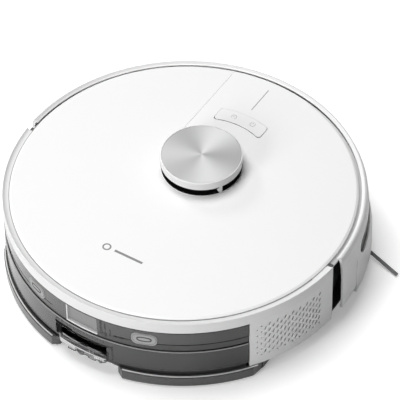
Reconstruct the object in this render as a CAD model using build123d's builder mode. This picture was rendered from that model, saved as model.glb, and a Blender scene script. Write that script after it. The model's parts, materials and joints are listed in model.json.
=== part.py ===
"""Robot vacuum and mop: a round floor robot with a laser turret on its lid.

Millimetres. Z points up from the floor, the bumper faces +Y and the tank -Y.
Every piece is written to parts/ as its own STEP file.
"""

from build123d import *
import os
from math import cos, radians, sin

os.makedirs("parts", exist_ok=True)

# ---------------------------------------------------------------- driving sizes
BODY_R = 175.0          # outer wall of the body
WALL = 2.5              # moulded wall thickness
FLOOR_GAP = 12.0        # underside above the floor
RIM_TOP = 87.0          # top edge of the body
TURRET_TOP = 105.0      # top of the laser turret
LID_R = 165.7           # round lid set into the rim
LID_THICK = 3.6
GROOVE_R = 168.4        # outer side of the dark groove round the lid
BAND_LOW = 74.7         # lower edge of the rim band, and top of the tank opening
PANEL_LOW = 14.5        # lower edge of the side panels
PANEL_END = -4.3        # side panel's front end, degrees from +X
PANEL_REAR = -36.9      # side panel's rear end, next to the tank
RUN_GAP = 0.05          # radial clearance of a shaft in its bore

LID_LOW = RIM_TOP - LID_THICK
LID_EDGE_R = LID_R + 2.3  # the lid's top falls gently from LID_R to this edge
LID_BEVEL = 1.0
FLOOR_TOP = FLOOR_GAP + 3.0

# laser turret
TURRET_Y = 31.7
TURRET_R = 39.9
CAP_R = 38.6
WINDOW_LOW = 89.7
WINDOW_TOP = 95.6

# key plate in the lid, an arc round the turret
KEY_IN_R = 67.3
KEY_OUT_R = 82.8
KEY_HALF = 26.5

# drive wheels
WHEEL_Y = -8.0
WHEEL_R = 35.0
ARM_PIVOT_Y = -52.0
ARM_PIVOT_Z = 40.0

# brushes and caster
BRUSH_Y = -28.0
BRUSH_Z = 25.0
BRUSH_R = 22.0
SIDE_BRUSH_X = 120.0
SIDE_BRUSH_Y = 96.8
SIDE_BRUSH_REACH = 77.4
SIDE_BRUSH_REST = -14.3  # degrees, direction of the first tuft
CASTER_Y = 124.0
CASTER_R = 13.0
CASTER_TRAIL = 9.0

# tank bay
BAY_Y = -62.0
BAY_HALF = 90.0
TANK_LOW = 19.9
TANK_STEP = 47.3
TANK_RECESS = 57.3
TANK_R = 174.4
MOP_R = 177.5
BUTTON_ANGLE = 20.3
BUTTON_Z = 62.0


def save(piece, name):
    """Label a finished piece and write its STEP file."""
    piece.part.label = name
    export_step(piece.part, f"parts/{name}.step")


def radial_plane(angle):
    """Upright plane through the Z axis: local x is the radius, local y is height."""
    a = radians(angle)
    return Plane(origin=(0, 0, 0), x_dir=(cos(a), sin(a), 0), z_dir=(sin(a), -cos(a), 0))


def wall_plane(angle, radius, height):
    """Plane tangent to a round wall: local x runs round it, local y is height."""
    a = radians(angle)
    origin = (radius * cos(a), radius * sin(a), height)
    return Plane(origin=origin, x_dir=(-sin(a), cos(a), 0), z_dir=(cos(a), sin(a), 0))


def turned(outline, start=0.0, sweep=360.0):
    """Solid of revolution about Z from radius and height points."""
    with BuildPart() as solid:
        with BuildSketch(radial_plane(start)):
            with BuildLine():
                Polyline(outline, close=True)
            make_face()
        revolve(axis=Axis.Z, revolution_arc=sweep)
    return solid.part


def arc_wall(r_in, r_out, z_low, z_high, start=0.0, sweep=360.0):
    """Upright wall that follows a stretch of a circle round Z."""
    return turned([(r_in, z_low), (r_out, z_low), (r_out, z_high), (r_in, z_high)], start, sweep)


def cylinder(x, y, z, radius, height):
    """Upright cylinder that stands on height z."""
    with BuildPart() as solid:
        with BuildSketch(Plane.XY.offset(z)):
            with Locations((x, y)):
                Circle(radius)
        extrude(amount=height)
    return solid.part


def cross_cylinder(x, y, z, radius, length):
    """Cylinder along X that starts at x."""
    with BuildPart() as solid:
        with BuildSketch(Plane.YZ.offset(x)):
            with Locations((y, z)):
                Circle(radius)
        extrude(amount=length)
    return solid.part


def block(x_low, x_high, y_low, y_high, z_low, z_high):
    """Plain box between two corners."""
    with BuildPart() as solid:
        with BuildSketch(Plane.XY.offset(z_low)):
            with Locations(((x_low + x_high) / 2, (y_low + y_high) / 2)):
                Rectangle(x_high - x_low, y_high - y_low)
        extrude(amount=z_high - z_low)
    return solid.part


def bay_block(radius, margin, z_low, z_high):
    """Plan of the tank bay, grown outwards by margin, as a solid between two heights."""
    with BuildPart() as solid:
        with BuildSketch(Plane.XY.offset(z_low)):
            Circle(radius)
            with BuildLine():
                Polyline(
                    (-BAY_HALF - margin, BAY_Y + margin),
                    (BAY_HALF + margin, BAY_Y + margin),
                    (118 + margin, -84 + margin),
                    (139 + margin, -104.5 + margin),
                    (220, -165 + margin),
                    (220, -300),
                    (-220, -300),
                    (-220, -165 + margin),
                    (-139 - margin, -104.5 + margin),
                    (-118 - margin, -84 + margin),
                    close=True,
                )
            make_face(mode=Mode.INTERSECT)
        extrude(amount=z_high - z_low)
    return solid.part


# ---------------------------------------------------------------- lower housing
BRUSH_BAY = (-90.0, 90.0, -55.0, -1.0)
WELL_IN = 68.0
WELL_OUT = 131.0
WELL_REAR = -60.0
WELL_FRONT = 31.0
BATTERY = (-62.0, 62.0, 26.0, 84.0)
FRONT_R = 170.0
INNER_R = 158.0
CLIFF_ANGLES = (20.0, 68.0, 112.0, 160.0)
CLIFF_R = 146.0
CONTACT_X = 30.0
CONTACT_Y = 152.0
WEB_START = PANEL_END + 0.05
WEB_SWEEP = 1.5
SCREWS = ((147, 18), (-147, 18), (92, 62), (-92, 62), (52, 108), (-52, 108), (140, -48), (-140, -48))

with BuildPart() as lower_housing:
    with BuildSketch(Plane.XY.offset(FLOOR_GAP)):
        Circle(FRONT_R)
    extrude(amount=FLOOR_TOP - FLOOR_GAP)
    chamfer(lower_housing.faces().sort_by(Axis.Z)[0].edges(), 1.5)
    add(arc_wall(INNER_R - 3, INNER_R, FLOOR_GAP, 79.4, WEB_START, 180 - 2 * WEB_START))
    for web in (WEB_START, 180 - WEB_START - WEB_SWEEP):
        add(arc_wall(INNER_R - 1, BODY_R - WALL - 0.3, FLOOR_GAP + 1.5, 79.4, web, WEB_SWEEP))
        add(arc_wall(LID_EDGE_R + 0.5, BODY_R - WALL - 0.3, 79.0, 84.4, web, WEB_SWEEP))
    add(bay_block(250, 0, FLOOR_GAP - 1, 60), mode=Mode.SUBTRACT)
    for side in (1, -1):
        well_low, well_high = sorted((side * WELL_IN, side * WELL_OUT))
        add(block(well_low, well_high, WELL_REAR, WELL_FRONT, FLOOR_GAP - 1, 31), mode=Mode.SUBTRACT)
        add(cylinder(side * SIDE_BRUSH_X, SIDE_BRUSH_Y, FLOOR_TOP, 12, 5))
        add(cylinder(side * SIDE_BRUSH_X, SIDE_BRUSH_Y, FLOOR_GAP - 1, 8.0, 12), mode=Mode.SUBTRACT)
        add(cylinder(side * SIDE_BRUSH_X, SIDE_BRUSH_Y, 20.1, 12.4, 40), mode=Mode.SUBTRACT)
    add(block(*BRUSH_BAY, FLOOR_GAP - 1, 31), mode=Mode.SUBTRACT)
    add(block(BATTERY[0] - 2, BATTERY[1] + 2, BATTERY[2] - 2, BATTERY[3] + 2, 11, 31), mode=Mode.SUBTRACT)
    add(cylinder(0, CASTER_Y, FLOOR_TOP, 29, 27))
    add(cylinder(0, CASTER_Y, FLOOR_GAP - 1, 26.5, 19.3), mode=Mode.SUBTRACT)
    add(cylinder(0, CASTER_Y, 30, 4.0 + RUN_GAP, 20), mode=Mode.SUBTRACT)
    with BuildSketch(Plane.XY.offset(FLOOR_GAP - 1)):
        for angle in CLIFF_ANGLES:
            with PolarLocations(CLIFF_R, 1, start_angle=angle):
                Rectangle(8, 16)
        with Locations((CONTACT_X, CONTACT_Y), (-CONTACT_X, CONTACT_Y)):
            SlotOverall(26, 10)
    extrude(amount=8, mode=Mode.SUBTRACT)
    with BuildSketch(Plane.XY.offset(FLOOR_GAP - 1)):
        with Locations(*SCREWS):
            Circle(3.2)
    extrude(amount=3, mode=Mode.SUBTRACT)
    with BuildSketch(Plane.XY.offset(FLOOR_GAP - 1)):
        with Locations(*SCREWS):
            Circle(1.5)
    extrude(amount=20, mode=Mode.SUBTRACT)

# ---------------------------------------------------------------- upper housing
RIM_PROFILE = [
    (GROOVE_R, 80.5),
    (GROOVE_R, 84.9),
    (170.6, 85.0),
    (172.4, 85.5),
    (173.6, 86.4),
    (174.1, 86.9),
    (174.5, RIM_TOP),
    (174.9, 86.7),
    (BODY_R, 86.2),
    (BODY_R, BAND_LOW),
    (BODY_R - WALL, BAND_LOW),
    (BODY_R - WALL, 80.5),
]
# shelf under the bumper's top edge, which slides back over it
CHANNEL = [
    (LID_R - 1, 79.5),
    (171.4, 79.5),
    (171.4, 81.4),
    (169.4, 82.6),
    (LID_EDGE_R + 0.3, 83.6),
    (LID_EDGE_R + 0.3, LID_LOW),
    (LID_R - 1, LID_LOW),
]
CHANNEL_START = -2.6
REAR_START = 180 - PANEL_END
REAR_SWEEP = 180 + 2 * PANEL_END

with BuildPart() as upper_housing:
    add(turned(RIM_PROFILE, REAR_START, REAR_SWEEP))
    add(arc_wall(INNER_R - 2.5, GROOVE_R + 0.6, 79.5, LID_LOW, REAR_START, REAR_SWEEP))
    add(arc_wall(INNER_R - 2.5, LID_R, 79.5, LID_LOW, -5, 190))
    add(turned(CHANNEL, CHANNEL_START, 180 - 2 * CHANNEL_START))
    add(bay_block(BODY_R - WALL, 0, BAND_LOW + 1.0, BAND_LOW + 3.0))
    with BuildSketch(Plane.XY.offset(BAND_LOW + 2)):
        with PolarLocations(120, 5, start_angle=-130, angular_range=80):
            Circle(4)
    extrude(amount=5.5)

# ---------------------------------------------------------------- side panels with air vents
VENT_MID = -22.55
VENT_COLUMNS = 18
VENT_STEP = 1.394       # degrees between columns
VENT_PITCH = 8.1        # mm between the slots of a column
VENT_TOP = 66.0
VENT_LEAN = 66.0        # slots lean towards the front


def side_panel_solid(start, vent_angle, run):
    """Curved panel with a staggered field of slots; run is +1 when the front is anticlockwise."""
    sweep = PANEL_END - PANEL_REAR
    with BuildPart() as panel:
        add(arc_wall(BODY_R - WALL, BODY_R, PANEL_LOW, BAND_LOW, start, sweep))
        with BuildSketch(wall_plane(vent_angle, BODY_R - 20, 0)):
            for column in range(VENT_COLUMNS):
                turn = radians((column - (VENT_COLUMNS - 1) / 2) * VENT_STEP)
                across = BODY_R * sin(turn) * run
                top = VENT_TOP - (VENT_PITCH / 2 if column % 2 == 0 else 0)
                for row in range(6 - (column + 1) % 2):
                    height = top - row * VENT_PITCH
                    small = column < 2 or row == 5
                    spot = Location((across, height, 0), (0, 0, VENT_LEAN * run))
                    with Locations(spot):
                        SlotOverall(2.4 if small else 4.6, 1.5 if small else 1.8)
        extrude(amount=25, mode=Mode.SUBTRACT)
    return panel.part


with BuildPart() as side_panel_right:
    add(side_panel_solid(PANEL_REAR, VENT_MID, 1))
with BuildPart() as side_panel_left:
    add(side_panel_solid(180 - PANEL_END, 180 - VENT_MID, -1))

# ---------------------------------------------------------------- lid
STRIP_HALF = 43.4
STRIP_DEEP = 0.35
LID_FALL = [
    (LID_R, RIM_TOP),
    (LID_EDGE_R - 0.3, RIM_TOP - LID_BEVEL),
    (LID_EDGE_R, RIM_TOP - LID_BEVEL - 0.4),
    (LID_EDGE_R + 2, RIM_TOP - LID_BEVEL - 0.4),
    (LID_EDGE_R + 2, RIM_TOP + 1),
    (LID_R, RIM_TOP + 1),
]


def key_outline(margin):
    """Arc plate between two radii round the turret, cut off square at both ends."""
    with BuildSketch() as outline:
        with Locations((0, TURRET_Y)):
            Circle(KEY_OUT_R + margin)
            Circle(KEY_IN_R - margin, mode=Mode.SUBTRACT)
        with Locations((0, TURRET_Y + 75)):
            Rectangle(2 * (KEY_HALF + margin), 60, mode=Mode.INTERSECT)
        fillet(outline.vertices(), 3)
    return outline.sketch


with BuildPart() as top_cover:
    with BuildSketch(Plane.XY.offset(LID_LOW)):
        Circle(LID_EDGE_R)
        with Locations((0, TURRET_Y)):
            Circle(TURRET_R - 4, mode=Mode.SUBTRACT)
        add(key_outline(0.5), mode=Mode.SUBTRACT)
    extrude(amount=LID_THICK)
    add(turned(LID_FALL), mode=Mode.SUBTRACT)
    with BuildSketch(Plane.XY.offset(RIM_TOP - STRIP_DEEP)):
        Circle(LID_R + 5)
        with Locations((0, TURRET_Y + 100)):
            Rectangle(2 * STRIP_HALF, 200, mode=Mode.INTERSECT)
    extrude(amount=2, mode=Mode.SUBTRACT)

# ---------------------------------------------------------------- key plate and its switches
KEY_TOP = RIM_TOP + 0.05
KEY_PIVOT_Y = 105.5     # round rail that the plate rocks on, along Y
KEY_PIVOT_HALF = 5.0
KEY_PIVOT_Z = 83.6
KEY_PIVOT_R = 1.4
with BuildPart() as key_plate:
    with BuildSketch(Plane.XY.offset(KEY_TOP - 2.4)):
        add(key_outline(0))
    extrude(amount=2.4)
    for foot_x in (-18, 18):
        add(cylinder(foot_x, 105.5, KEY_TOP - 5.4, 2.0, 3.2))
    with BuildSketch(Plane.XZ.offset(-KEY_PIVOT_Y - KEY_PIVOT_HALF)):
        with Locations((0, KEY_PIVOT_Z)):
            Circle(KEY_PIVOT_R)
    extrude(amount=2 * KEY_PIVOT_HALF)

with BuildPart() as key_switches:
    for foot_x in (-18, 18):
        add(block(foot_x - 3, foot_x + 3, 102.5, 108.5, 76.2, 79.6))
        add(cylinder(foot_x, 105.5, 79.6, 1.6, 1.0))

# ---------------------------------------------------------------- main board
with BuildPart() as main_board:
    add(block(-70, 70, 40, 112, 74.6, 76.2))
    add(block(-20, 8, 84, 100, 76.2, 78.4))
    add(block(30, 46, 78, 96, 76.2, 79.0))
    add(block(-62, -40, 80, 96, 76.2, 79.0))
    add(cylinder(0, TURRET_Y, 70, 46, 12), mode=Mode.SUBTRACT)

# ---------------------------------------------------------------- laser turret
with BuildPart() as turret_base:
    add(cylinder(0, TURRET_Y, 76.5, TURRET_R - 4.5, 2.0))
    add(cylinder(0, TURRET_Y, 78.5, 12, 8.5))
    add(cylinder(0, TURRET_Y, 75.5, 5 + RUN_GAP, 20), mode=Mode.SUBTRACT)
    add(block(-34, -22, TURRET_Y - 10, TURRET_Y + 10, 78.5, 80.5))

with BuildPart() as turret_cover:
    with BuildSketch(Plane.XY.offset(RIM_TOP)):
        with Locations((0, TURRET_Y)):
            Circle(TURRET_R - 0.8)
            Circle(TURRET_R - 3.6, mode=Mode.SUBTRACT)
    extrude(amount=WINDOW_LOW - RIM_TOP)
    with BuildSketch(Plane.XY.offset(WINDOW_LOW)):
        with Locations((0, TURRET_Y)):
            with PolarLocations(TURRET_R - 2.3, 3, start_angle=90):
                Rectangle(3.0, 4.2)
    extrude(amount=WINDOW_TOP - WINDOW_LOW)
    with BuildSketch(Plane.XY.offset(WINDOW_TOP)):
        with Locations((0, TURRET_Y)):
            Circle(TURRET_R)
    extrude(amount=TURRET_TOP - WINDOW_TOP)
    with BuildSketch(Plane.XY.offset(WINDOW_TOP - 1)):
        with Locations((0, TURRET_Y)):
            Circle(TURRET_R - 2.6)
    extrude(amount=6.5, mode=Mode.SUBTRACT)
    with BuildSketch(Plane.XY.offset(TURRET_TOP - 1.5)):
        with Locations((0, TURRET_Y)):
            Circle(CAP_R + 0.1)
    extrude(amount=3, mode=Mode.SUBTRACT)
    turret_top = turret_cover.edges().filter_by(GeomType.CIRCLE).group_by(Axis.Z)[-1]
    fillet(turret_top.sort_by(SortBy.LENGTH)[-1], 0.6)

with BuildPart() as turret_cap:
    with BuildSketch(Plane.XY.offset(TURRET_TOP - 1.5)):
        with Locations((0, TURRET_Y)):
            Circle(CAP_R)
    extrude(amount=1.5)
    chamfer(turret_cap.edges().group_by(Axis.Z)[-1], 0.4)

HEAD_R = 35.2
with BuildPart() as laser_head:
    add(cylinder(0, TURRET_Y, 88.5, HEAD_R, 8.2))
    add(cylinder(0, TURRET_Y, 84.0, 15, 4.6))
    add(cylinder(0, TURRET_Y, 77.5, 12.4, 11), mode=Mode.SUBTRACT)
    add(cylinder(0, TURRET_Y, 77.5, 5, 19))
    add(block(-14, -4, TURRET_Y + 27, TURRET_Y + 40, 90.2, 95.0), mode=Mode.SUBTRACT)
    add(block(2, 18, TURRET_Y + 24, TURRET_Y + 40, 90.2, 95.0), mode=Mode.SUBTRACT)

with BuildPart() as laser_lens:
    add(cylinder(-9, TURRET_Y + 20, 90.4, 1, 1))
    with BuildSketch(Plane.XZ.offset(-TURRET_Y - 27.2)):
        with Locations((-9, 92.6)):
            Circle(2.2)
    extrude(amount=-3)
    with BuildSketch(Plane.XZ.offset(-TURRET_Y - 24.2)):
        with Locations((10, 92.6)):
            Circle(2.3)
    extrude(amount=-5)
    add(cylinder(-9, TURRET_Y + 20, 90, 2, 2), mode=Mode.SUBTRACT)

MOTOR_X = -29.0
PULLEY_R = 5.0
with BuildPart() as turret_motor:
    add(cylinder(MOTOR_X, TURRET_Y, 62, 8, 14.3))
    add(cylinder(MOTOR_X, TURRET_Y, 76.3, 3, 0.2))

with BuildPart() as turret_pulley:
    add(cylinder(MOTOR_X, TURRET_Y, 81.0, PULLEY_R, 2.6))

# ---------------------------------------------------------------- bumper
BUMPER_LIP_R = 170.9    # clears the lid's edge at full travel
BUMPER_TOP = [
    (BUMPER_LIP_R, 84.9),
    (172.2, 85.4),
    (173.4, 86.4),
    (174.0, RIM_TOP),
    (175.4, 86.4),
    (177.2, 82.0),
    (178.2, 72.0),
    (178.6, 58.0),
]
PLAIN_SKIRT = [(178.6, 21.4), (178.0, 19.2), (175.0, 19.2)]
CHIN_SKIRT = [
    (180.4, 50.0),
    (182.2, 41.0),
    (182.4, 30.0),
    (182.2, 21.0),
    (181.0, 15.5),
    (178.8, 12.4),
    (175.0, 12.4),
]
BUMPER_IN = [
    (176.0, 25.0),
    (176.4, 34.0),
    (176.2, 58.0),
    (175.2, 72.0),
    (174.4, 79.0),
    (173.6, 82.6),
    (172.4, 83.8),
    (BUMPER_LIP_R, 83.9),
]
CHIN_START = 9.6        # degrees from the bumper's end to where its chin begins
CHIN_NOTCH = 0.7
CHIN_SHIFT = 12.0       # the chin swells towards the front, round this centre
CHIN_R = 177.6
WINDOW_Z = 62.0
WINDOW_HIGH = 18.0
SIDE_WINDOW = 28.0      # middle of each side window, degrees from the bumper's end
WINDOW_SPAN = {"right": (SIDE_WINDOW, 92.0), "left": (180 - SIDE_WINDOW, 92.0), "front": (90.0, 130.0)}
WINDOW_RIM = 0.4


def window_prism(angle, length, height, margin):
    """Long rounded block that cuts a sensor window out of the bumper's wall."""
    with BuildPart() as prism:
        with BuildSketch(wall_plane(angle, 120, WINDOW_Z)):
            SlotOverall(length + 2 * margin, height + 2 * margin)
        extrude(amount=80)
    return prism.part


with BuildPart() as bumper_shell:
    add(turned(BUMPER_TOP + CHIN_SKIRT + BUMPER_IN, CHIN_START, 180 - 2 * CHIN_START))
    add(cylinder(0, CHIN_SHIFT, 0, CHIN_R, TURRET_TOP), mode=Mode.INTERSECT)
    add(turned(BUMPER_TOP + PLAIN_SKIRT + BUMPER_IN, 0, 180))
    for notch in (CHIN_START - CHIN_NOTCH, 180 - CHIN_START):
        add(arc_wall(170, 185, 10, 22.5, notch, CHIN_NOTCH), mode=Mode.SUBTRACT)
    for angle, length in WINDOW_SPAN.values():
        add(window_prism(angle, length, WINDOW_HIGH, WINDOW_RIM), mode=Mode.SUBTRACT)


def bumper_window(side):
    """Dark infrared window that fills its opening in the bumper, a little below the surface."""
    angle, length = WINDOW_SPAN[side]
    outline = [(178.4, 51.0), (178.0, 58.0), (177.5, 73.0)]
    outline += [(175.0, 73.0), (175.8, 58.0), (176.0, 51.0)]
    with BuildPart() as pane:
        add(turned(outline, angle - 40, 80))
        add(window_prism(angle, length, WINDOW_HIGH, 0), mode=Mode.INTERSECT)
    return pane.part


with BuildPart() as bumper_window_right:
    add(bumper_window("right"))
with BuildPart() as bumper_window_left:
    add(bumper_window("left"))
with BuildPart() as bumper_window_front:
    add(bumper_window("front"))

# guide bar behind the bumper that carries it fore and aft
with BuildPart() as bumper_guide:
    add(arc_wall(163.5, 166.5, 56, 70, 40, 100))
    for angle in (60, 90, 120):
        add(arc_wall(166.0, 171.0, 60, 66, angle - 2, 4))

with BuildPart() as bumper_switches:
    for angle in (50, 130):
        with BuildSketch(wall_plane(angle, INNER_R + 0.05, 63)):
            Rectangle(14, 7)
        extrude(amount=2.2)

# ---------------------------------------------------------------- drive wheels


def wheel_arm_solid(side):
    """Gearbox arm that swings on a cross pin behind the wheel and carries its motor."""
    inner = min(side * 96.0, side * 106.0)
    with BuildPart() as arm:
        add(cross_cylinder(inner, ARM_PIVOT_Y, ARM_PIVOT_Z, 7, 10))
        add(cross_cylinder(inner, WHEEL_Y, WHEEL_R, 14, 10))
        add(block(inner, inner + 10, ARM_PIVOT_Y, WHEEL_Y, 30, 46))
        add(cross_cylinder(min(side * 73.0, side * 98.0), -24, 41, 11, 25))
        pin = side * 72.0 if side > 0 else side * 129.0
        add(cross_cylinder(pin, ARM_PIVOT_Y, ARM_PIVOT_Z, 3 + RUN_GAP, 57), mode=Mode.SUBTRACT)
        axle = side * 105.0 if side > 0 else side * 125.0
        add(cross_cylinder(axle, WHEEL_Y, WHEEL_R, 3, 20))
    return arm.part


def wheel_housing_solid(side):
    """Open-bottomed box over the wheel, with the pin that its arm swings on."""
    low, high = sorted((side * WELL_IN, side * WELL_OUT))
    with BuildPart() as housing:
        add(block(low, high, WELL_REAR, WELL_FRONT, FLOOR_TOP - 2, 74.5))
        hollow_rear = WELL_REAR + 0.5
        add(block(low + 2, high - 2, hollow_rear, WELL_FRONT - 2, FLOOR_TOP - 3, 72.5), mode=Mode.SUBTRACT)
        add(block(low + 2, high - 2, WELL_REAR - 1, WELL_REAR + 4, 26, 72.5), mode=Mode.SUBTRACT)
        add(cross_cylinder(low + 1, ARM_PIVOT_Y, ARM_PIVOT_Z, 3, high - low - 2))
    return housing.part


def wheel_hub_solid(side):
    """Spoked hub disc with a bore for its axle."""
    low = min(side * 109.0, side * 127.0)
    with BuildPart() as hub:
        add(cross_cylinder(low, WHEEL_Y, WHEEL_R, 27, 18))
        face = low + 14 if side > 0 else low
        with BuildSketch(Plane.YZ.offset(face)):
            with Locations((WHEEL_Y, WHEEL_R)):
                with PolarLocations(16.5, 6):
                    Circle(5.5)
        extrude(amount=4, mode=Mode.SUBTRACT)
        add(cross_cylinder(low - 1, WHEEL_Y, WHEEL_R, 3 + RUN_GAP, 20), mode=Mode.SUBTRACT)
    return hub.part


def tyre_solid(side):
    """Rubber tyre with cross lugs round its tread."""
    low = min(side * 109.0, side * 127.0)
    with BuildPart() as tyre:
        add(cross_cylinder(low, WHEEL_Y, WHEEL_R, WHEEL_R, 18))
        add(cross_cylinder(low - 1, WHEEL_Y, WHEEL_R, 27, 20), mode=Mode.SUBTRACT)
        with BuildSketch(Plane.YZ.offset(low)):
            with Locations((WHEEL_Y, WHEEL_R)):
                with PolarLocations(WHEEL_R + 1.2, 24, start_angle=7.5 - 90):
                    Rectangle(7, 3.6)
        extrude(amount=18, mode=Mode.SUBTRACT)
    return tyre.part


with BuildPart() as wheel_housing_right:
    add(wheel_housing_solid(1))
with BuildPart() as wheel_housing_left:
    add(wheel_housing_solid(-1))
with BuildPart() as wheel_arm_right:
    add(wheel_arm_solid(1))
with BuildPart() as wheel_arm_left:
    add(wheel_arm_solid(-1))
with BuildPart() as wheel_hub_right:
    add(wheel_hub_solid(1))
with BuildPart() as wheel_hub_left:
    add(wheel_hub_solid(-1))
with BuildPart() as tyre_right:
    add(tyre_solid(1))
with BuildPart() as tyre_left:
    add(tyre_solid(-1))

# ---------------------------------------------------------------- caster
CASTER_AXLE_Y = CASTER_Y - CASTER_TRAIL
with BuildPart() as caster_fork:
    add(cylinder(0, CASTER_Y, 27.0, 25.5, 3.0))
    add(cylinder(0, CASTER_Y, 30.0, 4.0, 18))
    for side in (1, -1):
        cheek = min(side * 10.0, side * 13.0)
        add(block(cheek, cheek + 3, CASTER_AXLE_Y - 8, CASTER_AXLE_Y + 12, 9, 28))
    add(cross_cylinder(-11, CASTER_AXLE_Y, CASTER_R, 2.0, 22))

with BuildPart() as caster_wheel:
    add(cross_cylinder(-9, CASTER_AXLE_Y, CASTER_R, CASTER_R, 18))
    add(cross_cylinder(-10, CASTER_AXLE_Y, CASTER_R, 2.0 + RUN_GAP, 20), mode=Mode.SUBTRACT)
    chamfer(caster_wheel.edges().filter_by(GeomType.CIRCLE).sort_by(SortBy.LENGTH)[-2:], 2)

# ---------------------------------------------------------------- main brush and its bay
with BuildPart() as brush_housing:
    low_x, high_x, low_y, high_y = BRUSH_BAY
    add(block(low_x, WELL_IN, low_y, high_y, 15.5, 52))
    add(block(-WELL_IN + 0.1, WELL_IN - 0.1, low_y, high_y, 13, 52), mode=Mode.INTERSECT)
    add(block(-64.5, 64.5, low_y + 3, high_y - 3, 12, 49.5), mode=Mode.SUBTRACT)
    add(block(-35, 35, low_y - 1, low_y + 4, 35, 48), mode=Mode.SUBTRACT)
    add(block(-40, 40, BAY_Y + 0.4, low_y, 32, 51))
    add(block(-35, 35, BAY_Y - 1, low_y + 4, 35, 48), mode=Mode.SUBTRACT)

BRUSH_END = 60.0
with BuildPart() as main_brush:
    add(cross_cylinder(-BRUSH_END, BRUSH_Y, BRUSH_Z, 11, 2 * BRUSH_END))
    with BuildSketch(Plane.YZ.offset(-BRUSH_END)):
        with Locations((BRUSH_Y, BRUSH_Z)):
            with PolarLocations(15.5, 6):
                Rectangle(11, 2.2)
    extrude(amount=2 * BRUSH_END)
    add(cross_cylinder(-BRUSH_END - 3.9, BRUSH_Y, BRUSH_Z, 3, 2 * BRUSH_END + 7.8))

with BuildPart() as brush_bearings:
    for side in (1, -1):
        start = min(side * 61.5, side * 64.4)
        add(cross_cylinder(start, BRUSH_Y, BRUSH_Z, 8, 2.9))
        add(cross_cylinder(start - 1, BRUSH_Y, BRUSH_Z, 3 + RUN_GAP, 5), mode=Mode.SUBTRACT)

with BuildPart() as brush_motor:
    add(block(-66, -38, -50, -6, 52.2, 74))
    add(cross_cylinder(-38, -28, 62, 10, 14))

with BuildPart() as brush_cover:
    add(block(-86, 86, -58, 2, 9.6, 11.9))
    add(block(-62, 62, -50, -6, 8, 13), mode=Mode.SUBTRACT)
    for bar_x in (-40, 0, 40):
        add(block(bar_x - 1, bar_x + 1, -52, -4, 9.6, 10.4))
    add(cross_cylinder(-61, BRUSH_Y, BRUSH_Z, BRUSH_R + 1, 122), mode=Mode.SUBTRACT)
    for bar_x in (-40, 0, 40):
        add(block(bar_x - 1, bar_x + 1, -52, -4, 0.9, 2.0))
    for bar_x in (-40, 0, 40):
        add(block(bar_x - 1, bar_x + 1, -53, -50, 0.9, 11))
        add(block(bar_x - 1, bar_x + 1, -6, -3, 0.9, 11))

# ---------------------------------------------------------------- side brushes
def side_brush_solid(side):
    """Hub with three tufts that slope down to the floor."""
    centre_x = side * SIDE_BRUSH_X
    rest = SIDE_BRUSH_REST if side > 0 else 180 - SIDE_BRUSH_REST
    with BuildPart() as brush:
        add(cylinder(centre_x, SIDE_BRUSH_Y, 6.4, 11, 4.6))
        add(cylinder(centre_x, SIDE_BRUSH_Y, 11.0, 7.0, 8))
        add(cylinder(centre_x, SIDE_BRUSH_Y, 12.0, 3.0 + RUN_GAP, 9), mode=Mode.SUBTRACT)
        for arm in range(3):
            a = radians(rest + 120 * arm)
            flat = Plane(
                origin=(centre_x, SIDE_BRUSH_Y, 0),
                x_dir=(cos(a), sin(a), 0),
                z_dir=(sin(a), -cos(a), 0),
            )
            with BuildSketch(flat):
                with BuildLine():
                    Polyline(
                        (8, 6.6),
                        (34, 5.4),
                        (SIDE_BRUSH_REACH, 0.9),
                        (SIDE_BRUSH_REACH, 3.4),
                        (34, 9.0),
                        (8, 10.4),
                        close=True,
                    )
                make_face()
            extrude(amount=2.0, both=True)
    return brush.part


def side_brush_motor_solid(side):
    """Small gearbox over the side brush, with the shaft that the brush pushes onto."""
    centre_x = side * SIDE_BRUSH_X
    with BuildPart() as motor:
        add(cylinder(centre_x, SIDE_BRUSH_Y, 20.2, 12, 20))
        add(cylinder(centre_x, SIDE_BRUSH_Y, 12.5, 3.0, 8))
        add(cylinder(centre_x * 0.88, SIDE_BRUSH_Y - 14, 24, 9, 30))
    return motor.part


with BuildPart() as side_brush_right:
    add(side_brush_solid(1))
with BuildPart() as side_brush_left:
    add(side_brush_solid(-1))
with BuildPart() as side_brush_motor_right:
    add(side_brush_motor_solid(1))
with BuildPart() as side_brush_motor_left:
    add(side_brush_motor_solid(-1))

# ---------------------------------------------------------------- battery, sensors and contacts
with BuildPart() as battery_pack:
    add(block(*BATTERY, FLOOR_TOP + 1, 46))
    fillet(battery_pack.edges().filter_by(Axis.Z), 4)

with BuildPart() as battery_door:
    add(block(BATTERY[0] - 1.7, BATTERY[1] + 1.7, BATTERY[2] - 1.7, BATTERY[3] + 1.7, FLOOR_GAP, 14.5))

with BuildPart() as cliff_sensors:
    for angle in CLIFF_ANGLES:
        with BuildSketch(Plane.XY.offset(FLOOR_GAP + 0.3)):
            with PolarLocations(CLIFF_R, 1, start_angle=angle):
                Rectangle(7.6, 15.6)
        extrude(amount=7)

with BuildPart() as charging_contacts:
    with BuildSketch(Plane.XY.offset(FLOOR_GAP - 0.4)):
        with Locations((CONTACT_X, CONTACT_Y), (-CONTACT_X, CONTACT_Y)):
            SlotOverall(25.6, 9.6)
    extrude(amount=3.4)

with BuildPart() as housing_screws:
    with BuildSketch(Plane.XY.offset(FLOOR_GAP + 0.2)):
        with Locations(*SCREWS):
            Circle(2.9)
    extrude(amount=1.8)
    with BuildSketch(Plane.XY.offset(FLOOR_GAP + 2.0)):
        with Locations(*SCREWS):
            Circle(1.45)
    extrude(amount=9)
    with BuildSketch(Plane.XY.offset(FLOOR_GAP)):
        with Locations(*SCREWS):
            Rectangle(3.4, 0.8)
            Rectangle(0.8, 3.4)
    extrude(amount=1.2, mode=Mode.SUBTRACT)

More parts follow.
